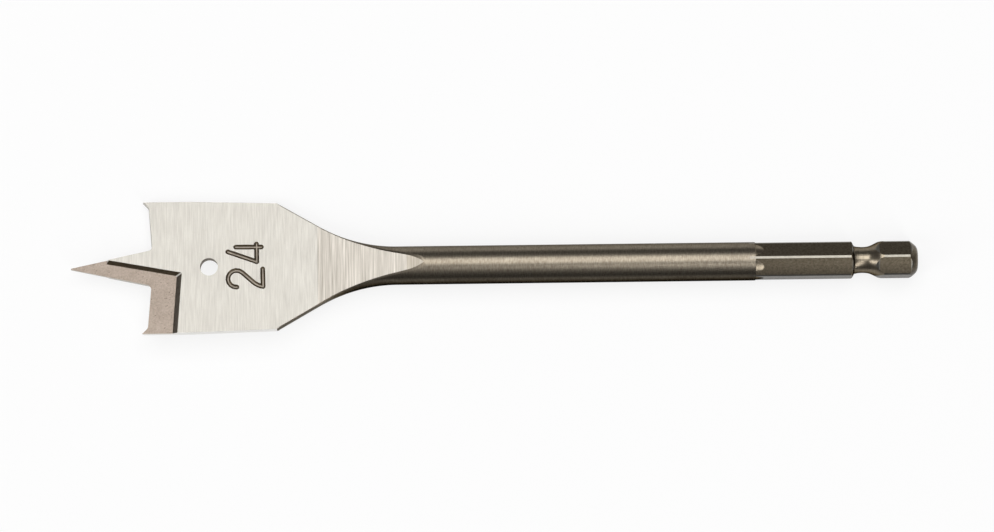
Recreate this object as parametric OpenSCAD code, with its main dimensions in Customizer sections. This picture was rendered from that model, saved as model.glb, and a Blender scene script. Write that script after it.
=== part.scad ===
// Spade drill bit: a flat ground blade with a centre point and two spurs,
// forged out of one round bar that ends in a hexagonal quick-change drive.
// The bit lies along X with its tip toward -X and its drive end at the origin, rolled about X
// as it comes to rest on its shank and on one side of its blade.
// It is drawn with the blade flat in XY, where a half turn about X maps one lip onto the other.

/* [Overall] */
// Length from the tip of the centre point to the end of the drive
overall_length = 152; // [140:1:400]
// Diameter of the round shank
shank_d = 6.9; // [6.9:0.1:8]

/* [Blade] */
// Cutting width across the spurs
blade_w = 24; // [20:1:32]
// Width across the back corners, less than the cutting width so that the sides run free
blade_back_w = 23.1; // [19:0.1:31]
// Length of the parallel sides behind the cutting edges
land_length = 7.2; // [6:0.1:10]
// Thickness between the two ground faces
blade_t = 2.2; // [1.8:0.1:3]
// Length of the blade from the cutting edges to the back corners
blade_length = 22.6; // [20:0.1:36]
// Diameter of the hole through the blade
hole_d = 3.2; // [2:0.1:5]
// Distance of the hole behind the cutting edges
hole_setback = 10.4; // [8.5:0.1:16]

/* [Centre point and spurs] */
// Length of the centre point in front of the cutting edges
point_length = 14.4; // [9:0.1:18]
// Width of the centre point where its sides meet the line of the cutting edges
point_base_w = 6.4; // [5:0.1:8]
// Width left at the very tip
point_tip_w = 0.15; // [0.1:0.05:0.6]
// Radius between the centre point and each cutting edge
point_root_r = 0.9; // [0.4:0.1:1.5]
// Height of the spurs in front of the cutting edges
spur_h = 1.6; // [0.8:0.1:2.2]
// Radius at the foot of each spur
spur_r = 1; // [0.5:0.1:1.5]
// Angle of the inner side of each spur to the straight across
spur_angle = 45; // [40:1:60]
// Slant of the cutting edges toward the spurs
lip_slant = 4.5; // [2:0.5:6]
// Relief behind the cutting edges, in degrees
relief_angle = 9; // [5:0.5:14]

/* [Gullets] */
// Depth of each gullet below its face
gullet_depth = 0.7; // [0.3:0.05:0.8]
// Length of each gullet behind its cutting edge, at its inner corner
gullet_length = 5.4; // [3:0.1:6.5]
// Distance of that inner corner from the axis
gullet_offset = 1; // [0.7:0.05:1.3]
// Angle between the axis and the long wall along the centre point
gullet_wall_angle = 10.4; // [8:0.2:12]
// Lean of the long wall away from upright
gullet_wall_lean = 44; // [20:1:50]
// Slant of the end wall across the blade
gullet_end_slant = 4.5; // [0:0.5:6]
// Lean of the end wall away from upright
gullet_end_lean = 53; // [30:1:60]
// Distance from the tip to the front end of the ridge that the gullets leave on the point
ridge_start = 6.8; // [6:0.1:8.5]
// Lean of the ridge's front end away from upright
ridge_lean = 30; // [15:1:45]

/* [Shoulder and neck] */
// Angle of the shoulders to the axis
shoulder_angle = 30; // [25:1:40]
// Radius of the flare from the shoulders into the shank
flare_r = 28; // [15:1:32]
// Distance from the back corners to the crease where the faces start to rise
ramp_setback = 7.3; // [4:0.1:12]
// Slope of the rising faces, in degrees
ramp_angle = 7.1; // [6:0.1:12]
// Radius that rounds the rising faces over into the shank
ramp_blend_r = 12; // [10:1:60]

/* [Hexagonal drive] */
// Width across the flats
hex_af = 6.2; // [5.8:0.05:6.35]
// Diameter over the turned-down corners
hex_corner_d = 6.85; // [6.6:0.05:6.9]
// Length of the drive from the round shank to its end
hex_length = 29.2; // [22:0.1:50]
// Length of the cone that runs out on the flats
runout_length = 1.8; // [1:0.1:4]
// Bevel at the end of the round shank
shank_bevel = 0.1; // [0.05:0.05:0.15]
// Diameter at the bottom of the retaining groove
groove_d = 4.65; // [4:0.05:5.2]
// Radius of the groove's hollow bottom
groove_r = 5.9; // [3:0.1:8]
// Width of the groove's hollow bottom
groove_w = 2.9; // [2:0.1:3.5]
// Angle of the groove's front wall to the axis
groove_front_angle = 63; // [45:1:75]
// Angle of the groove's rear wall to the axis
groove_rear_angle = 27; // [22:1:45]
// Distance from the middle of the groove to the end of the drive
groove_from_end = 9.95; // [9:0.05:11]
// Length of the taper at the end of the drive
end_taper_length = 1.5; // [0.5:0.1:2.5]
// Diameter of the end face
end_face_d = 4.4; // [3.5:0.1:5.5]

/* [Hidden] */
$fn = 96;

// Radii and half sizes
shank_r = shank_d / 2;
blade_half = blade_w / 2;
back_half = blade_back_w / 2;
face_z = blade_t / 2;
gullet_z = face_z - gullet_depth;
hex_r = hex_af / 2 / cos(30);

// Stations along the axis, measured back from the tip
edge_s = point_length;
back_s = edge_s + blade_length;
land_s = edge_s + land_length;
hole_s = edge_s + hole_setback;
ramp_s = back_s + ramp_setback;
hex_s = overall_length - hex_length;
groove_s = overall_length - groove_from_end;

// The flare touches the shoulder at one end and the shank at the other
flare_top_r = shank_r + flare_r * (1 - cos(shoulder_angle));
flare_top_s = back_s + (back_half - flare_top_r) / tan(shoulder_angle);
flare_end_s = flare_top_s + flare_r * sin(shoulder_angle);

// The faces rise a little past the shank's own radius, so that they fade out on it
ramp_fade = 0.03;
ramp_top_z = shank_r + ramp_fade;
blend_z = ramp_top_z - ramp_blend_r * (1 - cos(ramp_angle));
blend_s = ramp_s + (blend_z - face_z) / tan(ramp_angle);
ramp_end_s = blend_s + ramp_blend_r * sin(ramp_angle);

// The runout cone ends just under the flats
runout_r = shank_r - shank_bevel;
runout_slope = (runout_r - hex_af / 2) / runout_length;
runout_sink = 0.1;

// Roll at rest, in which one parallel side of the blade is as low as the shank
rest_roll = asin(shank_r / norm([blade_half, face_z])) - atan(face_z / blade_half);

// How far a cut runs past the part, and how large a half space is
over = 1;
reach = 2 * overall_length;

// Facets along an arc that is drawn point by point
arc_steps = 20;

function arc_points(centre, r, from, to) =
    [for (i = [0:arc_steps])
        let (a = from + (to - from) * i / arc_steps)
        centre + r * [cos(a), sin(a)]];

// Places a shape drawn with stations along X
module at_tip() {
    translate([-overall_length, 0, 0]) children();
}

// Turns a profile of [radius, station] points about the axis of the bit
module turned() {
    at_tip() rotate([0, 90, 0]) rotate_extrude() children();
}

// Forged blank: parallel and then tapered sides, conical shoulders, flared neck, shank and
// runout cone
module blank() {
    flare = arc_points([shank_r + flare_r, flare_end_s], flare_r, 180 + shoulder_angle, 180);
    bevel_s = hex_s + shank_bevel;
    runout_end = [hex_af / 2 - runout_sink, bevel_s + runout_length + runout_sink / runout_slope];
    turned() polygon(concat(
        [[0, 0], [blade_half, 0], [blade_half, land_s], [back_half, back_s]],
        [for (p = flare) [p.x, p.y]],
        [[shank_r, hex_s], [runout_r, bevel_s], runout_end, [0, runout_end.y]]));
}

// What the grinding of the two faces leaves: flat along the blade, rising to the shank
module between_faces() {
    blend = arc_points([ramp_end_s, ramp_top_z - ramp_blend_r], ramp_blend_r, 90 + ramp_angle, 90);
    upper = concat([[-over, face_z], [ramp_s, face_z]], blend, [[overall_length, ramp_top_z]]);
    lower = [for (i = [len(upper) - 1:-1:0]) [upper[i].x, -upper[i].y]];
    at_tip() rotate([90, 0, 0])
        linear_extrude(height = reach, center = true) polygon(concat(upper, lower));
}

// Everything in front of one cutting edge, leaning back from the edge by the relief angle
module front_waste() {
    flank = atan((point_base_w - point_tip_w) / 2 / point_length);
    apex_s = -point_tip_w / 2 / tan(flank);
    root_y = point_base_w / 2 + point_root_r * (1 / cos(flank) - tan(flank));
    root = arc_points([-point_root_r, root_y], point_root_r, flank - 90, 0);
    // The slanted edge and the side of the spur meet in a foot, which is rounded
    span = blade_half - root_y;
    foot_v = (span * tan(spur_angle) - spur_h) / (tan(spur_angle) - tan(lip_slant));
    foot = [-foot_v * tan(lip_slant), root_y + foot_v];
    tangent = spur_r * tan((spur_angle - lip_slant) / 2);
    foot_centre = foot - tangent * [-sin(lip_slant), cos(lip_slant)]
        - spur_r * [cos(lip_slant), sin(lip_slant)];
    hollow = arc_points(foot_centre, spur_r, lip_slant, spur_angle);
    outside = [-spur_h - over * tan(spur_angle), blade_half + over];
    outline = concat([[apex_s - edge_s, 0]], root, hollow,
        [outside, [-edge_s - over, outside.y], [-edge_s - over, 0]]);
    at_tip() translate([edge_s, 0, gullet_z]) rotate([0, -relief_angle, 0]) mirror([0, 1, 0])
        linear_extrude(height = 4 * blade_t, center = true) polygon(outline);
}

// Half space below Y = 0, leaning away from the upright
module below_wall(lean) {
    rotate([lean, 0, 0]) translate([-reach, -reach, -reach]) cube([2 * reach, reach, 2 * reach]);
}

// Gullet ground into one face in front of its cutting edge: a floor, a wall along the point
// and an end wall, with the whole point down to the floor in front of the ridge
module gullet() {
    intersection() {
        at_tip() translate([-reach, -reach, gullet_z]) cube(2 * reach);
        union() {
            at_tip() translate([edge_s + gullet_length, -gullet_offset, face_z]) {
                intersection() {
                    rotate([0, 0, -gullet_wall_angle]) below_wall(-gullet_wall_lean);
                    rotate([0, 0, -90 - gullet_end_slant]) below_wall(-gullet_end_lean);
                }
            }
            at_tip() translate([ridge_start, 0, face_z]) rotate([0, 0, -90]) below_wall(-ridge_lean);
        }
    }
}

// Section of the retaining groove: a hollow bottom, a steep front wall and a gentle rear wall
module groove_section() {
    half_turn = asin(groove_w / 2 / groove_r);
    bottom = arc_points([groove_d / 2 + groove_r, groove_s], groove_r,
        180 + half_turn, 180 - half_turn);
    first = bottom[0];
    last = bottom[len(bottom) - 1];
    top_r = shank_r + over;
    polygon(concat(
        [[top_r, first.y - (top_r - first.x) / tan(groove_front_angle)]],
        bottom,
        [[top_r, last.y + (top_r - last.x) / tan(groove_rear_angle)]]));
}

// Hexagonal drive with rounded corners, retaining groove and tapered end
module hex_drive() {
    corner_r = hex_corner_d / 2;
    hex_root_s = hex_s - over;
    taper_s = overall_length - end_taper_length;
    difference() {
        intersection() {
            at_tip() translate([hex_root_s, 0, 0]) rotate([0, 90, 0])
                cylinder(r = hex_r, h = overall_length - hex_root_s, $fn = 6);
            turned() polygon([[0, hex_root_s], [corner_r, hex_root_s], [corner_r, taper_s],
                [end_face_d / 2, overall_length], [0, overall_length]]);
        }
        turned() groove_section();
    }
}

// The whole bit, one piece of steel, as it rests
module spade_bit() {
    color("silver") rotate([-rest_roll, 0, 0]) union() {
        difference() {
            intersection() {
                blank();
                between_faces();
            }
            for (turn = [0, 180]) {
                rotate([turn, 0, 0]) {
                    front_waste();
                    gullet();
                }
            }
            at_tip() translate([hole_s, 0, 0]) cylinder(d = hole_d, h = 2 * blade_t, center = true);
        }
        hex_drive();
    }
}

spade_bit();
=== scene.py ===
"""Looks of a spade drill bit: a fine mesh of the forged and ground steel, its finishes, and a plain studio.

The mesh is drawn in millimetres with the blade flat in XY and stations running back from the tip.
It is then rolled and moved into the CAD frame, in metres.
"""

import logging
import math
from collections.abc import Callable, Mapping, Sequence
from dataclasses import dataclass
from enum import IntEnum

import bmesh
import bpy
from mathutils import Matrix, Vector


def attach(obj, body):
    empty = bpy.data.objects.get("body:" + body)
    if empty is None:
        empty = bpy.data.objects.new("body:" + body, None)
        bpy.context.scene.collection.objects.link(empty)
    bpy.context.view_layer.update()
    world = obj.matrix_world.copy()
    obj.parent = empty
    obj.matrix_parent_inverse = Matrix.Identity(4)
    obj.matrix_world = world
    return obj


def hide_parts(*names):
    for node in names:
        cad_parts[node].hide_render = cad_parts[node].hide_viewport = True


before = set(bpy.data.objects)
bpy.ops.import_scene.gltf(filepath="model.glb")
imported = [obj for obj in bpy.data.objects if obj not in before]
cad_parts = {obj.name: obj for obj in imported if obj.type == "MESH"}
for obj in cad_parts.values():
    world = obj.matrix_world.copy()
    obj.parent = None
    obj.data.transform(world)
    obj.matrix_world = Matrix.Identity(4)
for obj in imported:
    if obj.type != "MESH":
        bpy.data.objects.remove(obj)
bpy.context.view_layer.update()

LOG = logging.getLogger("spade_bit")
MM = 0.001
# How close two points are that count as one, and how short an edge is that goes, before and after the cuts
DRAWN_DOUBLES_MM = (1e-4, 1e-5)
CUT_DOUBLES_MM = (2e-4, 1e-4)
# Fine grain, broad mottling and sparse specks: settings of the noise that every finish shares
GRAIN_NOISE = {"Scale": 1.0, "Detail": 4.0, "Roughness": 0.6}
MOTTLE_NOISE = {"Detail": 3.0, "Roughness": 0.55}
SPECK_NOISE = {"Detail": 2.0}
# Noise lies around its middle, and at a contrast of one the tones spread over this much to either side
NOISE_MIDDLE, NOISE_SWING = 0.5, 0.25
# Levels of the noise where a speck starts to show and where it shows in full
SPECK_LEVELS = (0.62, 0.72)
SENSOR_MM = 36.0
Point = tuple[float, float]
Ring = list[Vector]


class Region(IntEnum):
    """Which finish a face has; the value is its material slot on the mesh."""

    GROUND = 0
    RAMP = 1
    GULLET = 2
    WALL = 3
    FORGED = 4
    DRIVE = 5
    RUBBED = 6
    BURNISHED = 7
    LAND = 8
    TURNED = 9
    FEATHERED = 10


def linear(hex_colour: str) -> tuple[float, float, float, float]:
    """Turns an sRGB colour into linear light.

    Args:
        hex_colour: six hex digits after a number sign.

    Returns:
        Red, green, blue and an alpha of one.
    """
    levels = [int(hex_colour[i:i + 2], 16) / 255 for i in (1, 3, 5)]
    rgb = [v / 12.92 if v <= 0.04045 else ((v + 0.055) / 1.055) ** 2.4 for v in levels]
    return rgb[0], rgb[1], rgb[2], 1.0


def spread(low: float, high: float, steps: int) -> list[float]:
    """Evenly spaced numbers.

    Args:
        low: the first number.
        high: the last number.
        steps: how many intervals lie between them.

    Returns:
        steps + 1 numbers.
    """
    return [low + (high - low) * i / steps for i in range(steps + 1)]


def arc(centre: Point, r: float, first: float, last: float, steps: int) -> list[Point]:
    """Points along an arc.

    Args:
        centre: the arc's centre.
        r: its radius.
        first: the angle of the first point, in radians.
        last: the angle of the last point.
        steps: how many intervals lie between them.

    Returns:
        steps + 1 points.
    """
    return [(centre[0] + r * math.cos(a), centre[1] + r * math.sin(a)) for a in spread(first, last, steps)]


def in_order(marks: Sequence[float]) -> list[float]:
    """Sorts stations and leaves out those that repeat.

    Args:
        marks: the stations.

    Returns:
        The stations in order.
    """
    marks = sorted(marks)
    return [s for i, s in enumerate(marks) if i == 0 or s - marks[i - 1] > DRAWN_DOUBLES_MM[0]]


def add(tree: bpy.types.NodeTree, kind: str, inputs: Mapping[str | int, object] | None = None,
        **settings: object) -> bpy.types.Node:
    """Adds a node with its settings, values and links.

    Args:
        tree: the node tree that gets the node.
        kind: the node's type name.
        inputs: a value or a socket to link for each input, by name or number.
        settings: properties of the node itself.

    Returns:
        The new node.
    """
    node = tree.nodes.new(kind)
    for name, value in settings.items():
        setattr(node, name, value)
    for name, value in (inputs or {}).items():
        if isinstance(value, bpy.types.NodeSocket):
            tree.links.new(value, node.inputs[name])
        else:
            node.inputs[name].default_value = value
    return node


def add_object(name: str, mesh: bpy.types.Mesh, materials: Sequence[bpy.types.Material]) -> bpy.types.Object:
    """Puts a mesh into the scene.

    Args:
        name: the object's name.
        mesh: its mesh.
        materials: the materials of its slots, in the order of Region, if it has none yet.

    Returns:
        The new object.
    """
    if not mesh.materials:
        for material in materials:
            mesh.materials.append(material)
    obj = bpy.data.objects.new(name, mesh)
    bpy.context.scene.collection.objects.link(obj)
    return obj


def baked(obj: bpy.types.Object) -> bpy.types.Mesh:
    """Evaluates an object's modifiers and removes the object.

    Args:
        obj: an object with live modifiers.

    Returns:
        A plain mesh with the modifiers in it.
    """
    graph = bpy.context.evaluated_depsgraph_get()
    mesh = bpy.data.meshes.new_from_object(obj.evaluated_get(graph))
    bpy.data.objects.remove(obj)
    return mesh


def loft(name: str, rings: Sequence[Ring], region: Callable[[int, int], Region]) -> bpy.types.Mesh:
    """Skins closed rings of equal length and caps both ends.

    Args:
        name: the mesh's name.
        rings: the rings, each anticlockwise seen from behind.
        region: gives a face's finish from its ring and its point in the ring.

    Returns:
        A closed mesh with outward faces.
    """
    bm = bmesh.new()
    verts = [[bm.verts.new(p) for p in ring] for ring in rings]
    count = len(rings[0])
    for i in range(len(rings) - 1):
        for j in range(count):
            k = (j + 1) % count
            face = bm.faces.new((verts[i][j], verts[i][k], verts[i + 1][k], verts[i + 1][j]))
            face.material_index = region(i, j)
    for row, at in ((verts[0][::-1], 0), (verts[-1], len(rings) - 2)):
        bm.faces.new(row).material_index = region(at, 0)
    return closed(name, bm)


def clean(bm: bmesh.types.BMesh, doubles: Point) -> None:
    """Merges doubles and dissolves what has no size.

    Args:
        bm: the working mesh, in millimetres.
        doubles: how close two points are that count as one, and how short an edge is that goes.
    """
    near, short = doubles
    bmesh.ops.remove_doubles(bm, verts=bm.verts[:], dist=near)
    bmesh.ops.dissolve_degenerate(bm, edges=bm.edges[:], dist=short)


def closed(name: str, bm: bmesh.types.BMesh) -> bpy.types.Mesh:
    """Merges doubles, turns the faces outward and makes a mesh.

    Args:
        name: the mesh's name.
        bm: the working mesh, which is freed.

    Returns:
        The finished mesh.
    """
    clean(bm, DRAWN_DOUBLES_MM)
    bmesh.ops.recalc_face_normals(bm, faces=bm.faces[:])
    mesh = bpy.data.meshes.new(name)
    bm.to_mesh(mesh)
    bm.free()
    return mesh


def prism(name: str, low: Ring, high: Ring, region: Callable[[int], Region]) -> bpy.types.Mesh:
    """Joins two matching outlines into a solid.

    Args:
        name: the mesh's name.
        low: the lower outline.
        high: the upper outline.
        region: gives a side's finish from its number, and the low cap's from -1.

    Returns:
        A closed mesh.
    """
    bm = bmesh.new()
    a, b = [bm.verts.new(p) for p in low], [bm.verts.new(p) for p in high]
    for i in range(len(a)):
        k = (i + 1) % len(a)
        bm.faces.new((a[i], a[k], b[k], b[i])).material_index = region(i)
    bm.faces.new(a[::-1]).material_index = region(-1)
    bm.faces.new(b).material_index = region(-1)
    return closed(name, bm)


@dataclass(frozen=True)
class BitSizes:
    """Sizes of the bit in millimetres and degrees; stations run back from the tip."""

    overall: float = 152.0
    shank_r: float = 3.45
    blade_half: float = 12.0
    back_half: float = 11.55
    face_z: float = 1.1
    hole_r: float = 1.6
    hole_s: float = 24.8
    edge_s: float = 14.4
    land_s: float = 21.6
    back_s: float = 37.0
    ramp_s: float = 44.3
    hex_s: float = 122.8

    @property
    def rest_roll(self) -> float:
        """Roll at rest in radians, where one side of the blade is as low as the shank."""
        reach = math.hypot(self.blade_half, self.face_z)
        return math.asin(self.shank_r / reach) - math.atan(self.face_z / self.blade_half)

    @property
    def to_frame(self) -> Matrix:
        """Takes the drawn bit, in millimetres from the tip, into the CAD frame in metres."""
        place = Matrix.Translation((-self.overall * MM, 0, 0))
        return Matrix.Rotation(-self.rest_roll, 4, "X") @ place @ Matrix.Scale(MM, 4)


@dataclass(frozen=True)
class Finish:
    """A steel finish: two tones and what the tool that made it left behind.

    grain, mottle and specks are features per millimetre along X, Y and Z of the drawn bit.
    contrast is how much of the way between the tones the grain goes.
    grazing tints what the surface mirrors at a low angle.
    Painted shade darkens tone and tint along the front; oiled and front_shade_grazing are the shares of them
    left there.
    front_shade_mm is how far from the front the painted shade starts to thin and where it ends.
    """

    name: str
    dark: str
    light: str
    roughness: tuple[float, float]
    grain: tuple[float, float, float]
    contrast: float
    mottle: float
    mottle_share: float
    speck: str
    speck_share: float
    bump_mm: float
    specks: float = 2.6
    grazing: str = "#FFFFFF"
    front_shade_tone: float = 1.0
    front_shade_grazing: float = 1.0
    front_shade_mm: tuple[float, float] = (0.4, 2.8)

    def darkened(self, tree: bpy.types.NodeTree, where: bpy.types.NodeSocket, sizes: BitSizes,
                 unshaded: object, least: float) -> bpy.types.NodeSocket:
        """Paints shade along the front of the shank by darkening a colour there.

        Args:
            tree: the material's node tree.
            where: the place on the bit, in metres.
            sizes: the bit's sizes.
            unshaded: the colour without the painted shade, or its socket.
            least: the share of it that the painted shade leaves.

        Returns:
            The darkened colour.
        """
        # Painted shade: the colour is scaled down most next to the front of the shank and comes back further
        # off
        side = add(tree, "ShaderNodeSeparateXYZ", {0: where})
        past = add(tree, "ShaderNodeMath", {0: side.outputs["Y"], 1: sizes.shank_r * MM},
                   operation="ADD")
        near = add(tree, "ShaderNodeMath", {0: past.outputs[0]}, operation="ABSOLUTE")
        left = add(tree, "ShaderNodeMapRange", {"Value": near.outputs[0], "From Min": self.front_shade_mm[0] * MM,
                                                "From Max": self.front_shade_mm[1] * MM, "To Min": least})
        shaded = add(tree, "ShaderNodeVectorMath", {0: unshaded, "Scale": left.outputs[0]}, operation="SCALE")
        return shaded.outputs[0]

    def material(self, sizes: BitSizes) -> bpy.types.Material:
        """Makes the procedural material.

        Args:
            sizes: the bit's sizes, which place the patterns on it.

        Returns:
            The material.
        """
        made = bpy.data.materials.new(self.name)
        made.use_nodes = True
        tree = made.node_tree
        tree.nodes.clear()
        where = add(tree, "ShaderNodeTexCoord").outputs["Object"]
        # Object coordinates in metres become millimetres with the blade flat again
        drawn = add(tree, "ShaderNodeMapping", {"Vector": where, "Scale": (1 / MM,) * 3,
                                                "Rotation": (sizes.rest_roll, 0, 0)})
        lines = add(tree, "ShaderNodeMapping", {"Vector": drawn.outputs[0], "Scale": self.grain})
        grain = add(tree, "ShaderNodeTexNoise", {"Vector": lines.outputs[0], **GRAIN_NOISE})
        mottle = add(tree, "ShaderNodeTexNoise", {"Vector": drawn.outputs[0], "Scale": self.mottle,
                                                  **MOTTLE_NOISE})
        both = add(tree, "ShaderNodeMix", {0: self.mottle_share, 2: grain.outputs[0], 3: mottle.outputs[0]})
        swing = NOISE_SWING / self.contrast
        share = add(tree, "ShaderNodeMapRange", {"Value": both.outputs[0], "From Min": NOISE_MIDDLE - swing,
                                                 "From Max": NOISE_MIDDLE + swing})
        tone = add(tree, "ShaderNodeMix", {0: share.outputs[0], 6: linear(self.dark), 7: linear(self.light)},
                   data_type="RGBA")
        dots = add(tree, "ShaderNodeTexNoise", {"Vector": drawn.outputs[0], "Scale": self.specks,
                                                **SPECK_NOISE})
        chosen = add(tree, "ShaderNodeMapRange", {"Value": dots.outputs[0], "From Min": SPECK_LEVELS[0],
                                                  "From Max": SPECK_LEVELS[1], "To Max": self.speck_share})
        colour = add(tree, "ShaderNodeMix", {0: chosen.outputs[0], 6: tone.outputs[2], 7: linear(self.speck)},
                     data_type="RGBA").outputs[2]
        grazing: object = linear(self.grazing)
        # Painted shade along the front: a darker tone, and a darker tint in what the surface mirrors at a low
        # angle
        if self.front_shade_tone < 1:
            colour = self.darkened(tree, where, sizes, colour, self.front_shade_tone)
        if self.front_shade_grazing < 1:
            grazing = self.darkened(tree, where, sizes, linear(self.grazing)[:3], self.front_shade_grazing)
        rough = add(tree, "ShaderNodeMapRange", {"Value": share.outputs[0], "To Min": self.roughness[1],
                                                 "To Max": self.roughness[0]})
        bump = add(tree, "ShaderNodeBump", {"Height": grain.outputs[0], "Distance": self.bump_mm * MM})
        steel = add(tree, "ShaderNodeBsdfPrincipled",
                    {"Base Color": colour, "Metallic": 1.0, "Roughness": rough.outputs[0],
                     "Normal": bump.outputs[0], "Specular Tint": grazing})
        add(tree, "ShaderNodeOutputMaterial", {"Surface": steel.outputs[0]})
        return made


# Grinding grit leaves lines of about 0.05 mm, and turning and rolling leave marks about as fine.
# They are drawn 0.2 to 0.4 mm wide so that they show.
FINISHES: dict[Region, Finish] = {
    # Belt-ground steel: bright satin, with fine lines that run across the blade
    Region.GROUND: Finish("belt_ground_steel", "#B9B5AE", "#CDCAC2",
                          roughness=(0.54, 0.62), grain=(5.5, 0.25, 0.25), contrast=1.1,
                          mottle=0.1, mottle_share=0.1, speck="#B1A99A", speck_share=0.15, bump_mm=0.002),
    # The rising faces are ground more coarsely, so their lines stand out
    Region.RAMP: Finish("coarse_ground_steel", "#AAA49A", "#D7D1C8",
                        roughness=(0.52, 0.62), grain=(4.0, 0.1, 0.1), contrast=1.3,
                        mottle=0.1, mottle_share=0.1, speck="#B1A99A", speck_share=0.1, bump_mm=0.002),
    # The wheel only brushes the last of the rising faces, so some forging shows through and dulls them
    Region.FEATHERED: Finish("brushed_forged_steel", "#A0988C", "#C0B8AB",
                             roughness=(0.5, 0.6), grain=(4.0, 0.1, 0.1), contrast=1.0,
                             mottle=0.1, mottle_share=0.1, speck="#A1998A", speck_share=0.1, bump_mm=0.002),
    # Gullet floors come from a coarse wheel, so they are duller, warmer and specked
    Region.GULLET: Finish("wheel_ground_steel", "#93877B", "#AC9F94",
                          roughness=(0.52, 0.62), grain=(3.0, 3.0, 3.0), contrast=1.0,
                          mottle=0.5, mottle_share=0.25, speck="#675B4C", speck_share=0.7, bump_mm=0.006,
                          specks=3.5),
    # Gullet walls and the hole keep the dark scale of hardening
    Region.WALL: Finish("scaled_steel", "#4F4539", "#756957",
                        roughness=(0.42, 0.55), grain=(1.2, 1.2, 1.2), contrast=1.0,
                        mottle=0.5, mottle_share=0.5, speck="#857864", speck_share=0.4, bump_mm=0.006),
    # Forged and oil-finished shank: dark grey-brown, with a fine rolled grain; the oil kills the gloss at low
    # angles.
    # Along its front, tone and gloss are darkened further with painted shade.
    Region.FORGED: Finish("oiled_forged_steel_painted_front_shade", "#696054", "#8B8375",
                          roughness=(0.3, 0.38), grain=(4.5, 1.4, 1.4), contrast=1.3,
                          mottle=0.2, mottle_share=0.2, speck="#968B7A", speck_share=0.2, bump_mm=0.001,
                          grazing="#A0A0A0", front_shade_tone=0.36, front_shade_grazing=0.2),
    # The drive is milled from the same bar and oil-finished with it; along its front the tone is darkened
    # with painted shade
    Region.DRIVE: Finish("oiled_milled_steel_painted_front_shade", "#51493C", "#756C5D",
                         roughness=(0.3, 0.38), grain=(2.5, 3.0, 3.0), contrast=1.3,
                         mottle=0.25, mottle_share=0.15, speck="#968B7A", speck_share=0.2, bump_mm=0.001,
                         front_shade_tone=0.45),
    # Chucks rub the corners and the eased edges of the drive brighter; along the front their tone is darkened
    # hard with painted shade
    Region.RUBBED: Finish("rubbed_steel_painted_front_shade", "#736F67", "#8A867D",
                          roughness=(0.28, 0.36), grain=(1.5, 1.5, 1.5), contrast=1.0,
                          mottle=0.4, mottle_share=0.4, speck="#736E64", speck_share=0.4, bump_mm=0.001,
                          front_shade_tone=0.1),
    # The groove and the end of the shank are turned with a fine feed, so they shine more than the forging.
    # Along the front, their tone and gloss are darkened with painted shade.
    Region.TURNED: Finish("turned_steel_painted_front_shade", "#70675A", "#938978",
                          roughness=(0.27, 0.33), grain=(5.0, 0.6, 0.6), contrast=1.0,
                          mottle=0.3, mottle_share=0.2, speck="#968B7A", speck_share=0.2, bump_mm=0.001,
                          grazing="#606060", front_shade_tone=0.7, front_shade_grazing=0.4),
    # The number's floors and the gullets' end walls are burnished: smooth, and densely specked dark
    Region.BURNISHED: Finish("burnished_steel", "#676057", "#837B70",
                             roughness=(0.4, 0.5), grain=(1.5, 1.5, 1.5), contrast=1.0,
                             mottle=0.5, mottle_share=0.4, speck="#443C33", speck_share=0.5, bump_mm=0.004),
    # The narrow sides that guide the blade in its bore are ground finest, so they are brightest
    Region.LAND: Finish("fine_ground_steel", "#DCDAD5", "#E8E6E2",
                        roughness=(0.3, 0.36), grain=(2.0, 0.5, 0.5), contrast=1.0,
                        mottle=0.3, mottle_share=0.3, speck="#C8C4BC", speck_share=0.2, bump_mm=0.001),
}


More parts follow.
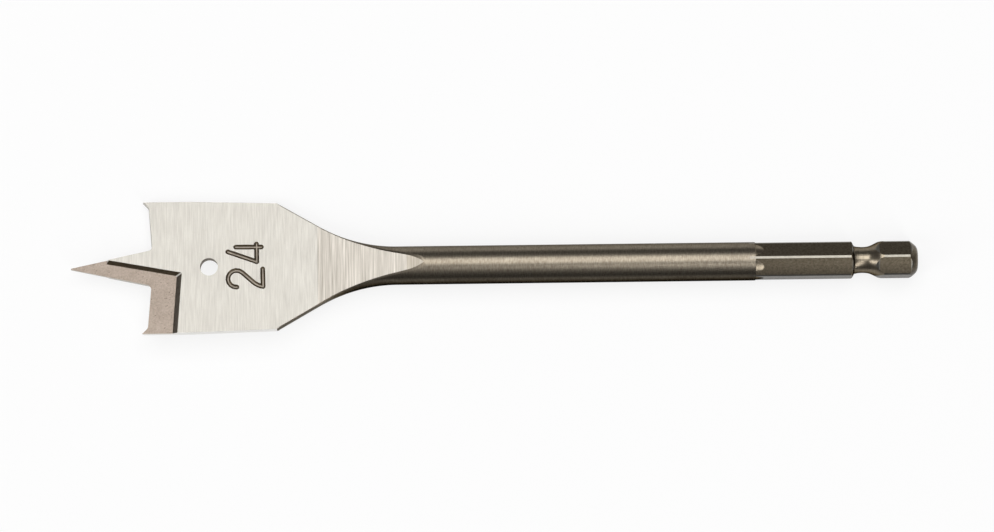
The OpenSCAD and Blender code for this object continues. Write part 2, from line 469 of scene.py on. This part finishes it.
@dataclass(frozen=True)
class Blank:
    """The forged blank between its two ground faces: blade, shoulders, neck and shank.

    The broken edge behind the blade grows over edge_run and takes at most edge_share of the flat.
    """

    sizes: BitSizes
    shoulder: float = math.radians(30)
    flare_r: float = 28.0
    ramp: float = math.radians(7.1)
    blend_r: float = 12.0
    fade: float = 0.02
    edge: float = 0.15
    edge_run: float = 0.6
    edge_share: float = 0.35
    bevel: float = 0.1
    feather: float = 3.0
    runout: tuple[float, float] = (3.0, 124.8)
    side_steps: int = 40
    flare_steps: int = 40
    feather_steps: int = 16
    shank_steps: int = 8

    @property
    def flare_s(self) -> Point:
        """Where the forged flare lies.

        Returns:
            Stations where it leaves the shoulder and where it meets the shank.
        """
        z = self.sizes
        top_r = z.shank_r + self.flare_r * (1 - math.cos(self.shoulder))
        start = z.back_s + (z.back_half - top_r) / math.tan(self.shoulder)
        return start, start + self.flare_r * math.sin(self.shoulder)

    @property
    def blend_s(self) -> Point:
        """Where the rising faces level out.

        Returns:
            Stations where they start to round over and where they would be level.
        """
        z = self.sizes
        rise = z.shank_r + self.fade - self.blend_r * (1 - math.cos(self.ramp)) - z.face_z
        start = z.ramp_s + rise / math.tan(self.ramp)
        return start, start + self.blend_r * math.sin(self.ramp)

    @property
    def feather_s(self) -> Point:
        """Where the wheel only brushes the rising faces.

        Returns:
            Stations where that last stretch starts and where the faces run out.
        """
        top = self.blend_r - self.fade
        end = self.blend_s[1] - math.sqrt(self.blend_r ** 2 - top ** 2)
        return end - self.feather, end

    def radius(self, s: float) -> float:
        """Radius of the turned blank.

        Args:
            s: a station.

        Returns:
            The radius there.
        """
        z = self.sizes
        start, end = self.flare_s
        if s <= z.land_s:
            return z.blade_half
        if s <= z.back_s:
            return z.blade_half + (z.back_half - z.blade_half) * (s - z.land_s) / (z.back_s - z.land_s)
        if s <= start:
            return z.back_half - (s - z.back_s) * math.tan(self.shoulder)
        if s <= end:
            return z.shank_r + self.flare_r - math.sqrt(self.flare_r ** 2 - (end - s) ** 2)
        if s <= z.hex_s:
            return z.shank_r
        if s <= z.hex_s + self.bevel:
            return z.shank_r - (s - z.hex_s)
        inner_r, inner_s = self.runout
        step = (s - z.hex_s - self.bevel) / (inner_s - z.hex_s - self.bevel)
        return z.shank_r - self.bevel + (inner_r - z.shank_r + self.bevel) * step

    def face(self, s: float) -> float:
        """Height of the ground face.

        Args:
            s: a station.

        Returns:
            The height above the middle of the blade.
        """
        z = self.sizes
        start, end = self.blend_s
        if s <= z.ramp_s:
            return z.face_z
        if s <= start:
            return z.face_z + (s - z.ramp_s) * math.tan(self.ramp)
        top = z.shank_r + self.fade
        return top if s >= end else top - self.blend_r + math.sqrt(self.blend_r ** 2 - (end - s) ** 2)

    def section(self, s: float) -> Ring:
        """Section of the blank: two arcs, joined by the flats over and under them.

        Forging leaves a broken edge between them behind the blade, which closes up as the flats run out.

        Args:
            s: a station.

        Returns:
            The ring of points.
        """
        r, level = self.radius(s), self.face(s)
        flat = math.sqrt(max(0.0, r * r - level * level))
        grown = min(1.0, max(0.0, s - self.sizes.back_s) / self.edge_run)
        cut = min(self.edge * grown, self.edge_share * flat)
        half = math.asin(min(1.0, (level - cut) / r))
        rim = arc((0.0, 0.0), r, -half, half, self.side_steps)
        side = [(flat - cut, -level), *rim, (flat - cut, level)] if flat else [rim[0], *rim, rim[-1]]
        return [Vector((s, way * y, way * z)) for way in (1, -1) for y, z in side]

    def stations(self) -> list[float]:
        """Stations of the sections, close together where the shape curves.

        Returns:
            The stations in order.
        """
        z = self.sizes
        fades = self.feather_s[1]
        near_end = [fades - self.feather * (1 - t) ** 2 for t in spread(0, 1, self.feather_steps)]
        marks = [0, z.land_s, z.back_s, z.back_s + self.edge_run, z.ramp_s, z.hex_s, z.hex_s + self.bevel,
                 self.runout[1]]
        marks += spread(*self.flare_s, self.flare_steps) + near_end
        marks += spread(fades, z.hex_s, self.shank_steps)
        return in_order(marks)

    def build(self) -> bpy.types.Mesh:
        """Skins the sections and dresses them.

        Returns:
            The blank's mesh.
        """
        marks = self.stations()
        # A side is its arc with a point on each flat, and a flat starts at the last point of a side
        count = self.side_steps + 3
        flats = (count - 1, 2 * count - 1)

        def region(i: int, j: int) -> Region:
            """Tells ground faces from forged and turned ones.

            Args:
                i: the number of the face's station.
                j: the number of its point in the ring.

            Returns:
                The face's finish.
            """
            middle = (marks[i] + marks[i + 1]) / 2
            if j in flats and middle > self.feather_s[0]:
                return Region.FEATHERED
            if j in flats:
                return Region.RAMP if middle > self.sizes.ramp_s else Region.GROUND
            if middle < self.sizes.back_s:
                return Region.LAND
            return Region.FORGED if middle < self.sizes.hex_s else Region.TURNED

        return loft("blank", [self.section(s) for s in marks], region)


@dataclass(frozen=True)
class CuttingEnd:
    """What grinding takes off the front of the blade: the waste before each lip, and the gullets.

    The waste and gullet reaches carry the cutters past the steel, so that they leave no skin.
    """

    sizes: BitSizes
    base_half: float = 3.2
    tip_half: float = 0.075
    root_r: float = 0.9
    spur_h: float = 1.6
    spur_r: float = 1.0
    spur_angle: float = math.radians(45)
    lip_slant: float = math.radians(4.5)
    relief: float = math.radians(9)
    depth: float = 0.7
    length: float = 5.55
    offset: float = 1.0
    wall_angle: float = math.radians(10.4)
    wall_lean: float = math.radians(44)
    end_slant: float = math.radians(4)
    end_lean: float = math.radians(53)
    ridge_s: float = 6.8
    ridge_lean: float = math.radians(30)
    corner_r: float = 0.22
    corner_steps: int = 6
    round_steps: int = 12
    hole_sides: int = 96
    waste_half: float = 4.4
    waste_side: float = 1.0
    waste_front: float = 1.5
    gullet_above: float = 0.6
    gullet_side: float = 15.0
    gullet_front: Point = (-2.0, -16.0)

    @property
    def floor_z(self) -> float:
        """Height of the gullet's floor."""
        return self.sizes.face_z - self.depth

    def outline(self) -> list[Point]:
        """Outline of the waste in front of one lip, from the lip's station and the axis.

        Returns:
            Distances back from the lip and out from the axis.
        """
        z = self.sizes
        flank = math.atan((self.base_half - self.tip_half) / z.edge_s)
        apex = -z.edge_s - self.tip_half / math.tan(flank)
        root_y = self.base_half + self.root_r * (1 / math.cos(flank) - math.tan(flank))
        root = arc((-self.root_r, root_y), self.root_r, flank - math.pi / 2, 0, self.round_steps)
        # The slanted lip and the side of the spur meet in a rounded foot
        lip, spur = math.tan(self.lip_slant), math.tan(self.spur_angle)
        foot = ((z.blade_half - root_y) * spur - self.spur_h) / (spur - lip)
        back = self.spur_r * math.tan((self.spur_angle - self.lip_slant) / 2)
        sine, cosine = math.sin(self.lip_slant), math.cos(self.lip_slant)
        centre = (-foot * lip + back * sine - self.spur_r * cosine,
                  root_y + foot - back * cosine - self.spur_r * sine)
        hollow = arc(centre, self.spur_r, self.lip_slant, self.spur_angle, self.round_steps)
        out, front = z.blade_half + self.waste_side, -z.edge_s - self.waste_front
        past = -self.spur_h - self.waste_side * spur
        return [(apex, 0.0), *root, *hollow, (past, out), (front, out), (front, 0.0)]

    def waste(self) -> bpy.types.Mesh:
        """Makes the waste in front of the lip below the axis, leaning back by the relief.

        Returns:
            A closed cutter.
        """
        place = Matrix.Translation((self.sizes.edge_s, 0, self.floor_z))
        turn = place @ Matrix.Rotation(-self.relief, 4, "Y")
        low, high = ([turn @ Vector((u, -v, w)) for u, v in self.outline()]
                     for w in (-self.waste_half, self.waste_half))
        return prism("waste", low, high, lambda _: Region.GROUND)

    def gullet(self) -> bpy.types.Mesh:
        """Makes the gullet in the upper face, open to the front and below the axis.

        In front of the ridge it takes the whole point down to its floor.

        Returns:
            A closed cutter.
        """
        corner = Vector((self.sizes.edge_s + self.length, -self.offset))
        along = Vector((-math.cos(self.wall_angle), math.sin(self.wall_angle)))
        across = Vector((-math.sin(self.end_slant), -math.cos(self.end_slant)))
        # Both walls lean outward with height, so each level has its own corner
        wall_n, end_n = Vector((-along.y, along.x)) * -1, Vector((-across.y, across.x))
        rings: list[Ring] = []
        front, low = self.gullet_front
        for w in (-self.depth, self.gullet_above):
            shift = Matrix((wall_n, end_n)).inverted() @ Vector((w * math.tan(self.wall_lean),
                                                                 w * math.tan(self.end_lean)))
            at = corner + shift
            half = along.angle(across) / 2
            centre = at + (along + across).normalized() * self.corner_r / math.sin(half)
            first, last = ((at + way * self.corner_r / math.tan(half) - centre).normalized()
                           for way in (across, along))
            inner = [centre + first.slerp(last, t) * self.corner_r for t in spread(0, 1, self.corner_steps)]
            ridge = self.ridge_s + w * math.tan(self.ridge_lean)
            meet = at + along * (at.x - ridge) / -along.x
            outer = [Vector((ridge, self.gullet_side)), Vector((front, self.gullet_side)),
                     Vector((front, low)), at + across * self.gullet_side]
            rings.append([Vector((p.x, p.y, self.sizes.face_z + w)) for p in [*inner, meet, *outer]])

        # Sides run round the corner, along the wall, over the ridge, past the steel and along the end wall
        ridge_side, end_side = self.corner_steps + 1, len(rings[0]) - 1

        def region(i: int) -> Region:
            """Tells the gullet's floor and walls apart.

            Args:
                i: the number of the side, or -1 for the floor.

            Returns:
                The finish that the wheel leaves there.
            """
            if i == -1:
                return Region.GULLET
            # The wheel's corner leaves a bright hollow, and the ridge's front end is ground bright
            if i < self.corner_steps:
                return Region.GROUND
            return {ridge_side: Region.LAND, end_side: Region.BURNISHED}.get(i, Region.WALL)

        return prism("gullet", *rings, region)

    def hole(self) -> bpy.types.Mesh:
        """Makes the round hole through the blade.

        Returns:
            A closed cutter.
        """
        z = self.sizes
        ring = arc((z.hole_s, 0.0), z.hole_r, 0, math.tau, self.hole_sides)[:-1]
        low, high = ([Vector((u, v, w)) for u, v in ring] for w in (-2 * z.face_z, 2 * z.face_z))
        return prism("hole", low, high, lambda _: Region.WALL)

    def build(self) -> list[bpy.types.Mesh]:
        """Makes every cutter, with the second lip a half turn round from the first.

        Returns:
            The cutters' meshes.
        """
        cutters = [self.waste(), self.gullet()]
        for mesh in cutters[:]:
            other = mesh.copy()
            other.transform(Matrix.Rotation(math.pi, 4, "X"))
            cutters.append(other)
        return [*cutters, self.hole()]


@dataclass(frozen=True)
class Drive:
    """The hexagonal drive with rounded corners, a retaining groove and a tapered end.

    It reaches into the shank by inset.
    Sections lie close together over brow_run before and behind the groove, and over flat_run to either side
    of where a flat ends at the groove's front and at the taper.
    """

    sizes: BitSizes
    flat: float = 3.085
    corner_r: float = 3.449
    groove_s: float = 142.05
    groove_bottom: float = 2.325
    groove_r: float = 5.9
    groove_half: float = 1.45
    groove_soft: float = 0.15
    brow_soft: float = 0.3
    flat_soft: float = 0.22
    inset: float = 1.0
    brow_run: Point = (0.2, 0.7)
    flat_run: Point = (0.16, 0.3)
    flat_steps: tuple[int, int] = (24, 18)
    front_steps: int = 8
    groove_steps: int = 48
    rear_steps: int = 16
    taper_steps: int = 10
    end_steps: int = 8
    whole_within: float = 1e-6
    front_wall: float = math.tan(math.radians(63))
    rear_wall: float = math.tan(math.radians(27))
    taper_s: float = 150.5
    end_r: float = 2.2
    end_round: float = 0.5
    corner_steps: int = 8

    @property
    def groove_edge(self) -> float:
        """Radius where the groove's hollow bottom meets its walls."""
        return self.groove_bottom + self.groove_r - math.sqrt(self.groove_r ** 2 - self.groove_half ** 2)

    @staticmethod
    def eased(one: float, other: float, soft: float) -> float:
        """Takes the lesser of two distances, rounded over where they cross.

        Args:
            one: a distance.
            other: another distance.
            soft: how far apart the two are where the rounding starts.

        Returns:
            The distance left.
        """
        near = max(0.0, 1 - abs(one - other) / soft)
        return min(one, other) - near ** 2 * soft / 4

    def turned(self, s: float) -> float:
        """Radius of the groove or of the tapered end.

        Args:
            s: a station.

        Returns:
            The radius there, which may lie outside the bar.
        """
        if s > self.taper_s:
            step = (s - self.taper_s) / (self.sizes.overall - self.taper_s)
            rim = max(0.0, 1 - (self.sizes.overall - s) / self.end_round)
            cone = self.corner_r + (self.end_r - self.corner_r) * step
            return cone - self.end_round * (1 - math.sqrt(max(0.0, 1 - rim ** 2)))
        away = s - self.groove_s
        bottom = self.groove_bottom + self.groove_r - math.sqrt(max(0.0, self.groove_r ** 2 - away ** 2))
        wall = self.groove_edge + max((-away - self.groove_half) * self.front_wall,
                                      (away - self.groove_half) * self.rear_wall)
        soft = max(0.0, 1 - abs(bottom - wall) / self.groove_soft)
        return max(bottom, wall) + soft ** 2 * self.groove_soft / 4

    def reach(self, s: float) -> float:
        """Largest radius of the drive.

        Args:
            s: a station.

        Returns:
            The radius there.
        """
        turned = self.turned(s)
        return turned if s > self.taper_s else self.eased(self.corner_r, turned, self.brow_soft)

    def section(self, s: float) -> Ring:
        """Section of the hexagon inside a circle: six flats and the arcs between them.

        Args:
            s: a station.

        Returns:
            The ring of points.
        """
        r = self.reach(s)
        half = math.acos(min(1.0, self.eased(self.flat, self.turned(s), self.flat_soft) / r))
        angles = [a + k * math.pi / 3 for k in range(6)
                  for a in [-half, *spread(half, math.pi / 3 - half, self.corner_steps)[:-1]]]
        return [Vector((s, r * math.cos(a), r * math.sin(a))) for a in angles]

    def stations(self) -> list[float]:
        """Stations of the sections, close together in the groove and the taper.

        Returns:
            The stations in order.
        """
        overall = self.sizes.overall
        marks = [self.sizes.hex_s - self.inset, self.taper_s]
        walls = []
        for r in (self.flat, self.corner_r):
            rise = r - self.groove_edge
            walls.append((self.groove_s - self.groove_half - rise / self.front_wall,
                          self.groove_s + self.groove_half + rise / self.rear_wall))
        inner, outer = walls
        marks += spread(outer[0] - self.brow_run[0], inner[0], self.front_steps)
        marks += spread(*inner, self.groove_steps)
        marks += spread(inner[1], outer[1] + self.brow_run[1], self.rear_steps)
        slope = (self.corner_r - self.end_r) / (overall - self.taper_s)
        fades = self.taper_s + (self.corner_r - self.flat) / slope
        marks += spread(self.taper_s, fades, self.taper_steps)
        for middle, run, steps in zip((inner[0], fades), self.flat_run, self.flat_steps):
            marks += spread(middle - run, middle + run, steps)
        turns = spread(0, math.pi / 2, self.end_steps)
        marks += [overall - self.end_round * (1 - math.sin(a)) for a in turns]
        return in_order(marks)

    def build(self) -> bpy.types.Mesh:
        """Skins the sections and dresses them.

        Returns:
            The drive's mesh.
        """
        marks = self.stations()

        def region(i: int, j: int) -> Region:
            """Tells milled flats from rubbed edges and turned faces.

            Args:
                i: the number of the face's station.
                j: the number of its point in the ring.

            Returns:
                The face's finish.
            """
            flat = j % (self.corner_steps + 1) == 0
            if flat and abs(self.flat - self.turned((marks[i] + marks[i + 1]) / 2)) < self.flat_soft:
                return Region.RUBBED
            if flat or marks[i] >= self.taper_s:
                return Region.DRIVE
            whole = min(self.reach(marks[i]), self.reach(marks[i + 1])) > self.corner_r - self.whole_within
            return Region.RUBBED if whole else Region.TURNED

        return loft("drive", [self.section(s) for s in marks], region)


@dataclass(frozen=True)
class SizeNumber:
    """The stamped cutting width: two digits that read along the blade's width.

    Places on the face are station and Y in millimetres.
    The first digit has a base and a round head, whose stroke runs down and flattens out into the foot.
    The second has a slope, a bar and a stem.
    The cutter stands proud of the face, and its rounded joints stay off the floor by a share of the depth.
    """

    sizes: BitSizes
    mouth: float = 0.88
    floor: float = 0.24
    depth: float = 0.26
    head: Point = (29.75, -2.26)
    head_r: float = 1.53
    head_start: float = math.radians(273)
    neck: float = math.radians(40)
    foot: Point = (34.52, -3.73)
    foot_r: float = 3.6
    foot_slant: float = math.radians(10)
    base_end: Point = (34.45, -0.52)
    slope: tuple[Point, Point] = ((28.2, 2.69), (33.4, 0.82))
    bar_end: Point = (33.34, 4.06)
    stem: tuple[Point, Point] = ((29.62, 3.54), (34.22, 3.5))
    proud: float = 0.1
    joint_lift: float = 0.015
    joint_sides: int = 28
    head_steps: int = 10
    foot_steps: int = 4
    floor_facing: float = -0.9

    def strokes(self) -> list[list[Point]]:
        """Lines that the strokes of both digits follow.

        Returns:
            The points of each stroke.
        """
        quarter = math.pi / 2
        curl = arc(self.head, self.head_r, self.head_start, quarter - self.neck, self.head_steps)
        centre = (self.foot[0] + self.foot_r * math.sin(self.foot_slant),
                  self.foot[1] + self.foot_r * math.cos(self.foot_slant))
        sweep = arc(centre, self.foot_r, -quarter - self.neck, -quarter - self.foot_slant, self.foot_steps)
        return [[*curl, *sweep], [self.foot, self.base_end],
                [*self.slope], [self.slope[1], self.bar_end], [*self.stem]]

    def tree(self) -> bpy.types.GeometryNodeTree:
        """Builds the node tree that sweeps a tapered groove along lines and rounds every joint.

        Returns:
            The node tree, with named inputs for its sizes.
        """
        tree = bpy.data.node_groups.new("stamped_strokes", "GeometryNodeTree")
        tree.interface.new_socket("Geometry", in_out="OUTPUT", socket_type="NodeSocketGeometry")
        tree.interface.new_socket("Geometry", in_out="INPUT", socket_type="NodeSocketGeometry")
        for name in ("Mouth", "Floor", "Depth"):
            tree.interface.new_socket(name, in_out="INPUT", socket_type="NodeSocketFloat")
        for name in ("Wall Material", "Floor Material"):
            tree.interface.new_socket(name, in_out="INPUT", socket_type="NodeSocketMaterial")
        given = add(tree, "NodeGroupInput").outputs
        line = add(tree, "GeometryNodeMeshToCurve", {0: given["Geometry"]})
        upright = add(tree, "GeometryNodeSetCurveNormal", {0: line.outputs[0]}, mode="Z_UP")
        shape = add(tree, "GeometryNodeCurvePrimitiveQuadrilateral",
                    {"Height": given["Depth"], "Bottom Width": given["Mouth"], "Top Width": given["Floor"],
                     "Offset": 0.0}, mode="TRAPEZOID")
        sweep = add(tree, "GeometryNodeCurveToMesh", {0: upright.outputs[0], 1: shape.outputs[0],
                                                      "Fill Caps": True})
        halves = [add(tree, "ShaderNodeMath", {0: given[name], 1: 0.5}, operation="MULTIPLY").outputs[0]
                  for name in ("Mouth", "Floor", "Depth")]
        shallow = add(tree, "ShaderNodeMath", {0: given["Depth"], 1: 1 - self.joint_lift},
                      operation="MULTIPLY")
        cone = add(tree, "GeometryNodeMeshCone",
                   {"Vertices": self.joint_sides, "Radius Top": halves[0], "Radius Bottom": halves[1],
                    "Depth": shallow.outputs[0]})
        down = add(tree, "ShaderNodeMath", {0: halves[2], 1: 2 * self.joint_lift - 1}, operation="MULTIPLY")
        drop = add(tree, "ShaderNodeCombineXYZ", {"Z": down.outputs[0]})
        sunk = add(tree, "GeometryNodeTransform", {"Geometry": cone.outputs[0],
                                                   "Translation": drop.outputs[0]})
        ends = add(tree, "GeometryNodeInstanceOnPoints", {"Points": given["Geometry"],
                                                          "Instance": sunk.outputs[0]})
        joined = add(tree, "GeometryNodeJoinGeometry", {0: sweep.outputs[0]})
        tree.links.new(ends.outputs[0], joined.inputs[0])
        real = add(tree, "GeometryNodeRealizeInstances", {0: joined.outputs[0]})
        walls = add(tree, "GeometryNodeSetMaterial", {0: real.outputs[0], "Material": given["Wall Material"]})
        facing = add(tree, "ShaderNodeSeparateXYZ", {0: add(tree, "GeometryNodeInputNormal").outputs[0]})
        level = add(tree, "ShaderNodeMath", {0: facing.outputs["Z"], 1: self.floor_facing},
                    operation="LESS_THAN")
        floors = add(tree, "GeometryNodeSetMaterial", {0: walls.outputs[0], "Selection": level.outputs[0],
                                                       "Material": given["Floor Material"]})
        add(tree, "NodeGroupOutput", {"Geometry": floors.outputs[0]})
        return tree

    def build(self, materials: Sequence[bpy.types.Material]) -> bpy.types.Mesh:
        """Sweeps the strokes into one cutter that sinks into the upper face.

        Args:
            materials: the materials in the order of Region.

        Returns:
            The cutter's mesh.
        """
        tall = self.depth + self.proud
        scale = tall / self.depth
        points, edges = [], []
        for stroke in self.strokes():
            first = len(points)
            points += [(s, y, self.sizes.face_z + self.proud - tall / 2) for s, y in stroke]
            edges += [(first + i, first + i + 1) for i in range(len(stroke) - 1)]
        lines = bpy.data.meshes.new("strokes")
        lines.from_pydata(points, edges, [])
        obj = add_object("strokes", lines, ())
        modifier = obj.modifiers.new("strokes", "NODES")
        tree = self.tree()
        modifier.node_group = tree
        values = {"Mouth": self.floor + (self.mouth - self.floor) * scale, "Floor": self.floor,
                  "Depth": tall, "Wall Material": materials[Region.WALL],
                  "Floor Material": materials[Region.BURNISHED]}
        for item in tree.interface.items_tree:
            if item.in_out == "INPUT" and item.name in values:
                modifier[item.identifier] = values[item.name]
        return baked(obj)


@dataclass(frozen=True)
class SpadeBit:
    """The whole bit, one piece of steel; faces that turn by more than the crease meet in a sharp edge."""

    sizes: BitSizes = BitSizes()
    crease: float = math.radians(7)

    def build(self) -> bpy.types.Object:
        """Cuts the blank and joins the drive to it.

        Returns:
            The finished piece in the CAD frame.
        """
        materials = [FINISHES[region].material(self.sizes) for region in Region]
        body = add_object("blank", Blank(self.sizes).build(), materials)
        cutters = [add_object(mesh.name, mesh, materials) for mesh in CuttingEnd(self.sizes).build()]
        number = SizeNumber(self.sizes).build(materials)
        cutters.append(add_object("number", number, materials))
        drive = add_object("drive", Drive(self.sizes).build(), materials)
        for tool, operation in [*((cutter, "DIFFERENCE") for cutter in cutters), (drive, "UNION")]:
            cut = body.modifiers.new(tool.name, "BOOLEAN")
            cut.solver = "EXACT"
            cut.operation = operation
            cut.object = tool
            cut.material_mode = "TRANSFER"
            cut.use_self = tool.data is number
        mesh = baked(body)
        for tool in [*cutters, drive]:
            bpy.data.objects.remove(tool)
        return self.finish(mesh, materials)

    def finish(self, mesh: bpy.types.Mesh, materials: Sequence[bpy.types.Material]) -> bpy.types.Object:
        """Cleans the mesh, sets its shading and moves it into the CAD frame.

        Args:
            mesh: the cut mesh, in millimetres.
            materials: the materials in the order of Region.

        Returns:
            The finished piece.
        """
        bm = bmesh.new()
        bm.from_mesh(mesh)
        clean(bm, CUT_DOUBLES_MM)
        bm.to_mesh(mesh)
        bm.free()
        for polygon in mesh.polygons:
            polygon.use_smooth = True
        mesh.set_sharp_from_angle(angle=self.crease)
        mesh.transform(self.sizes.to_frame)
        piece = add_object("bit_steel", mesh, materials)
        open_edges = self.open_edges(mesh)
        LOG.info("piece: %d faces, %d open edges", len(mesh.polygons), open_edges)
        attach(piece, "root")
        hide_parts("spade_bit")
        return piece

    @staticmethod
    def open_edges(mesh: bpy.types.Mesh) -> int:
        """Counts the edges that don't join exactly two faces.

        Args:
            mesh: a mesh.

        Returns:
            The count, which is nought on a closed shell.
        """
        bm = bmesh.new()
        bm.from_mesh(mesh)
        count = sum(1 for edge in bm.edges if len(edge.link_faces) != 2)
        bm.free()
        return count


@dataclass(frozen=True)
class Softbox:
    """A rectangular lamp over the bit; lean is from straight above toward +X and toward +Y, in degrees."""

    name: str
    lean: Point
    away: float
    along_x: float
    across: float
    radiance: float

    def build(self, aim: Vector) -> bpy.types.Object:
        """Hangs the lamp.

        Args:
            aim: the point that it faces.

        Returns:
            The lamp.
        """
        lamp = bpy.data.lights.new(self.name, "AREA")
        lamp.shape = "RECTANGLE"
        lamp.size, lamp.size_y = self.along_x, self.across
        lamp.energy = self.radiance * math.pi * self.along_x * self.across
        obj = bpy.data.objects.new(self.name, lamp)
        way = Vector((*(math.tan(math.radians(a)) for a in self.lean), 1)).normalized()
        obj.location = aim + way * self.away
        obj.rotation_euler = way.to_track_quat("Z", "Y").to_euler()
        bpy.context.scene.collection.objects.link(obj)
        return obj


@dataclass(frozen=True)
class Studio:
    """A pale floor, soft lamps overhead and a camera that looks straight down."""

    sizes: BitSizes = BitSizes()
    floor_colour: str = "#F0F0F0"
    floor_white: float = 0.8
    floor_half: float = 6.0
    world_colour: str = "#585858"
    softboxes: tuple[Softbox, ...] = (
        Softbox("key_softbox", lean=(0.0, 23.0), away=1.5, along_x=1.4, across=1.0, radiance=3.6),
        Softbox("left_strip", lean=(-54.0, -26.0), away=1.6, along_x=0.35, across=1.7, radiance=5.0),
        Softbox("right_strip", lean=(22.0, -33.0), away=1.6, along_x=0.3, across=1.6, radiance=5.7),
    )
    camera_away: float = 0.8
    camera_aim: Vector = Vector((-0.0755, -0.00028, 0.0))
    frame_width: float = 0.1786
    camera_roll: float = math.radians(-0.7)

    def build(self) -> None:
        """Sets up the floor, the lamps, the world and the camera."""
        self.lay_floor()
        for softbox in self.softboxes:
            softbox.build(Vector((self.camera_aim.x, 0, 0)))
        world = bpy.data.worlds.new("studio")
        world.use_nodes = True
        back = next(n for n in world.node_tree.nodes if n.type == "BACKGROUND")
        back.inputs["Color"].default_value = linear(self.world_colour)
        scene = bpy.context.scene
        scene.world = world
        scene.view_settings.view_transform = "Standard"
        lens = bpy.data.cameras.new("camera")
        lens.sensor_width = SENSOR_MM
        lens.lens = SENSOR_MM * self.camera_away / self.frame_width
        camera = bpy.data.objects.new("camera", lens)
        camera.location = self.camera_aim + Vector((0, 0, self.camera_away))
        camera.rotation_euler = (0, 0, self.camera_roll)
        scene.collection.objects.link(camera)
        scene.camera = camera

    def lay_floor(self) -> None:
        """Lays the floor just under the resting bit."""
        half, level = self.floor_half, -self.sizes.shank_r * MM
        mesh = bpy.data.meshes.new("floor")
        corners = [(x * half, y * half, level) for x, y in ((-1, -1), (1, -1), (1, 1), (-1, 1))]
        mesh.from_pydata(corners, [], [(0, 1, 2, 3)])
        paper = bpy.data.materials.new("matt_white_paper")
        paper.use_nodes = True
        tree = paper.node_tree
        tree.nodes.clear()
        matt = add(tree, "ShaderNodeBsdfDiffuse", {"Color": linear(self.floor_colour)})
        white = add(tree, "ShaderNodeEmission", {"Strength": 1.0})
        # The eye, and metal that mirrors the floor, see it paler than the lamps leave it
        ray = add(tree, "ShaderNodeLightPath").outputs
        seen = ray["Is Camera Ray"]
        for other in ("Is Glossy Ray", "Is Transmission Ray"):
            seen = add(tree, "ShaderNodeMath", {0: seen, 1: ray[other]}, operation="MAXIMUM").outputs[0]
        share = add(tree, "ShaderNodeMath", {0: seen, 1: self.floor_white}, operation="MULTIPLY")
        both = add(tree, "ShaderNodeMixShader", {0: share.outputs[0], 1: matt.outputs[0],
                                                 2: white.outputs[0]})
        add(tree, "ShaderNodeOutputMaterial", {"Surface": both.outputs[0]})
        add_object("floor", mesh, [paper])


def main() -> None:
    """Builds the bit and the studio; the bit's face count and open edges go to the log."""
    logging.basicConfig(level=logging.INFO, format="%(name)s: %(message)s")
    SpadeBit().build()
    Studio().build()


if __name__ == "__main__":
    main()
